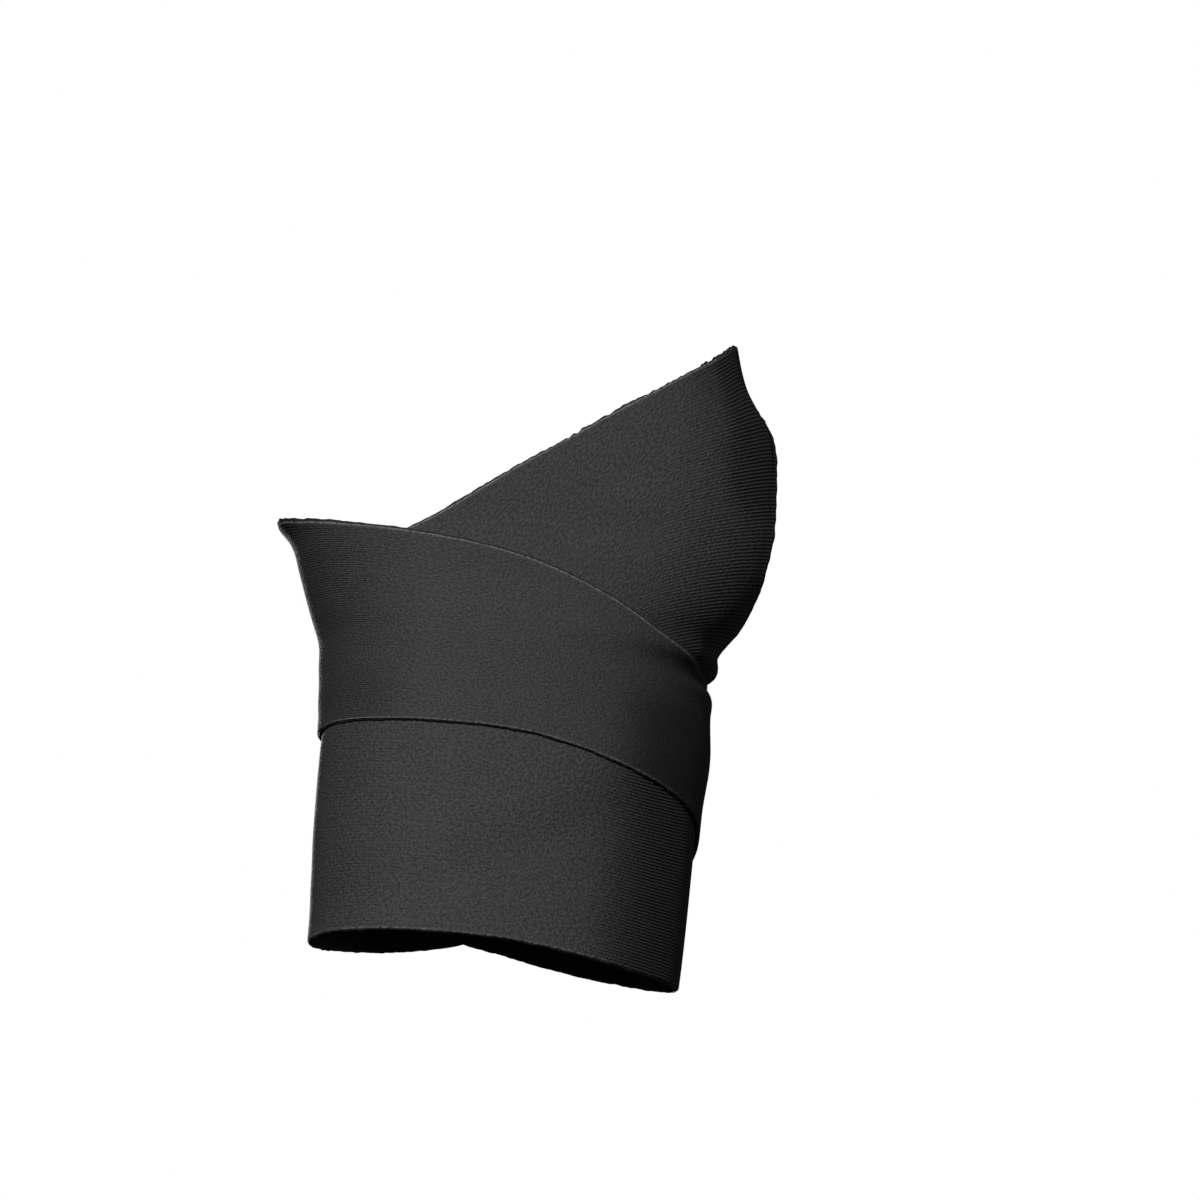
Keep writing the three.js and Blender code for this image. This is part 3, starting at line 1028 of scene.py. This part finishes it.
def spunPolyester():
    # spun polyester sewing thread, three ply: a little lighter and glossier than the knit
    material = newMaterial("spunPolyester")
    tree = material.node_tree
    place = addNode(tree, "ShaderNodeUVMap", {"uv_map": "fabric"})
    apart = addNode(tree, "ShaderNodeSeparateXYZ", None, {"Vector": place.outputs["UV"]})
    around = addNode(tree, "ShaderNodeMath", {"operation": "MULTIPLY", 1: 2 * math.pi},
                     {0: apart.outputs["Y"]})
    ply = addNode(tree, "ShaderNodeMath",
                  {"operation": "MULTIPLY_ADD", 1: 2 * math.pi / polyesterThread["twist"]},
                  {0: apart.outputs["X"], 2: around.outputs["Value"]})
    wave = addNode(tree, "ShaderNodeMath", {"operation": "SINE"}, {0: ply.outputs["Value"]})
    share = addNode(tree, "ShaderNodeMapRange", {"From Min": -1.0, "From Max": 1.0},
                    {"Value": wave.outputs["Value"]})
    # painted shade: the ply's grooves are darker and its crests lighter, following the relief
    tone = addNode(tree, "ShaderNodeValToRGB", None, {"Fac": share.outputs["Result"]})
    setStops(tone, (0.0, 1.0), (polyesterThread["dark"], polyesterThread["light"]))
    relief = addNode(tree, "ShaderNodeBump", {"Distance": polyesterThread["relief"] * mm},
                     {"Height": share.outputs["Result"]})
    shader = addNode(tree, "ShaderNodeBsdfPrincipled",
                     {"Roughness": polyesterThread["roughness"], "IOR": polyesterThread["ior"]},
                     {"Base Color": tone.outputs["Color"], "Normal": relief.outputs["Normal"]})
    addNode(tree, "ShaderNodeOutputMaterial", None, {"Surface": shader.outputs["BSDF"]})
    return material


# the camera stands where the photograph's stood
photo = {
    "distance": 1800.0,         # mm from the object's middle plane
    "frameWidth": 198.0,        # mm across the picture at that plane
    "sensorWidth": 36.0,
    "elevation": -12.0,
    "roll": 6.4,
    "aimAcross": 12.26,
    "aimUp": 17.98,
}


def makeCamera():
    tilt = math.radians(-photo["elevation"])
    roll = math.radians(photo["roll"])
    across = Vector((1, 0, 0))
    up = Vector((0, -math.sin(tilt), math.cos(tilt)))
    ahead = Vector((0, math.cos(tilt), math.sin(tilt)))
    right = across * math.cos(roll) + up * math.sin(roll)
    upward = up * math.cos(roll) - across * math.sin(roll)
    aim = across * photo["aimAcross"] + up * photo["aimUp"]
    place = (aim - ahead * photo["distance"]) * mm
    data = bpy.data.cameras.new("photoCamera")
    data.sensor_width = photo["sensorWidth"]
    data.lens = photo["sensorWidth"] * photo["distance"] / photo["frameWidth"]
    data.clip_start = 0.05
    data.clip_end = 50
    camera = bpy.data.objects.new("photoCamera", data)
    turn = Matrix((right, upward, -ahead)).transposed().to_4x4()
    camera.matrix_world = Matrix.Translation(place) @ turn
    bpy.context.scene.collection.objects.link(camera)
    bpy.context.scene.camera = camera


lamps = {
    # name: bearing from the front to the thumb side, elevation, distance in metres, size, watts
    "key": (-21, 22, 2.2, 0.4, 62),
    "thumbSide": (112, 8, 2.2, 0.5, 2.6),
    "back": (188, 8, 2.2, 0.5, 40),
}


def makeLamp(name, bearing, elevation, distance, size, watts):
    data = bpy.data.lights.new(name, "AREA")
    data.shape = "DISK"
    data.size = size
    data.energy = watts
    lamp = bpy.data.objects.new(name, data)
    b, e = math.radians(bearing), math.radians(elevation)
    away = Vector((math.sin(b) * math.cos(e), -math.cos(b) * math.cos(e), math.sin(e)))
    lamp.location = away * distance
    lamp.rotation_mode = "QUATERNION"
    lamp.rotation_quaternion = away.to_track_quat("Z", "Y")
    lamp.visible_camera = False
    bpy.context.scene.collection.objects.link(lamp)


roomLight = {
    "fill": 0.03,               # what the object gets from the room
    "backdrop": 1.0,            # what the camera sees of it
}


def makeWorld():
    world = bpy.data.worlds.new("studio")
    bpy.context.scene.world = world
    world.use_nodes = True
    tree = world.node_tree
    tree.nodes.clear()
    path = addNode(tree, "ShaderNodeLightPath")
    white = linear("#ffffff")
    room = addNode(tree, "ShaderNodeBackground", {"Color": white, "Strength": roomLight["fill"]})
    seen = addNode(tree, "ShaderNodeBackground", {"Color": white, "Strength": roomLight["backdrop"]})
    mixed = addNode(tree, "ShaderNodeMixShader", None, {
        "Fac": path.outputs["Is Camera Ray"],
        1: room.outputs["Background"],
        2: seen.outputs["Background"],
    })
    addNode(tree, "ShaderNodeOutputWorld", None, {"Surface": mixed.outputs["Shader"]})


paperFloor = {
    "half": 6000.0,
    "level": -560.0,
    "grain": 900.0,             # noise across the whole sheet, far coarser than real paper's
    "toneRange": (0.3, 0.7),
    "dark": "#ececea",
    "light": "#f2f2f0",
    "roughness": 0.9,
}


def makeFloor():
    # uncoated pale paper: matt, and even but for a faint grain
    material = newMaterial("palePaper")
    tree = material.node_tree
    grain = addNode(tree, "ShaderNodeTexNoise", {"Scale": paperFloor["grain"], "Detail": 2.0})
    tone = addNode(tree, "ShaderNodeValToRGB", None, {"Fac": grain.outputs["Fac"]})
    setStops(tone, paperFloor["toneRange"], (paperFloor["dark"], paperFloor["light"]))
    shader = addNode(tree, "ShaderNodeBsdfPrincipled", {"Roughness": paperFloor["roughness"]},
                     {"Base Color": tone.outputs["Color"]})
    addNode(tree, "ShaderNodeOutputMaterial", None, {"Surface": shader.outputs["BSDF"]})
    half, level = paperFloor["half"], paperFloor["level"]
    corners = [(x, y, level) for x, y in ((-half, -half), (half, -half), (half, half), (-half, half))]
    floor = makeMesh("floor", corners, [(0, 1, 2, 3)], smooth=False)
    floor.data.materials.append(material)
    floor.visible_diffuse = False       # the floor's light would fill in the shadow side
    floor.visible_glossy = False


wrap = makeStrap()
wrap.data.materials.append(nylonJersey())
print("strap:", len(wrap.data.polygons), "faces,", round(float(lengthAt(tailTurn))), "mm long")
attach(wrap, "root")
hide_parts("wrap_band")

hookTape = makeHookTape()
hookTape.data.materials.append(wovenHookTape())
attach(hookTape, "root")
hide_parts("hook_patch")

stitches = makeStitching()
stitches.data.materials.append(spunPolyester())
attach(stitches, "root")
print("hook tape and stitching:", len(hookTape.data.polygons) + len(stitches.data.polygons), "faces")

makeCamera()
for lampName, lampValues in lamps.items():
    makeLamp(lampName, *lampValues)
makeWorld()
makeFloor()
print("camera, lamps and floor in place")
bpy.context.scene.view_settings.view_transform = "Standard"
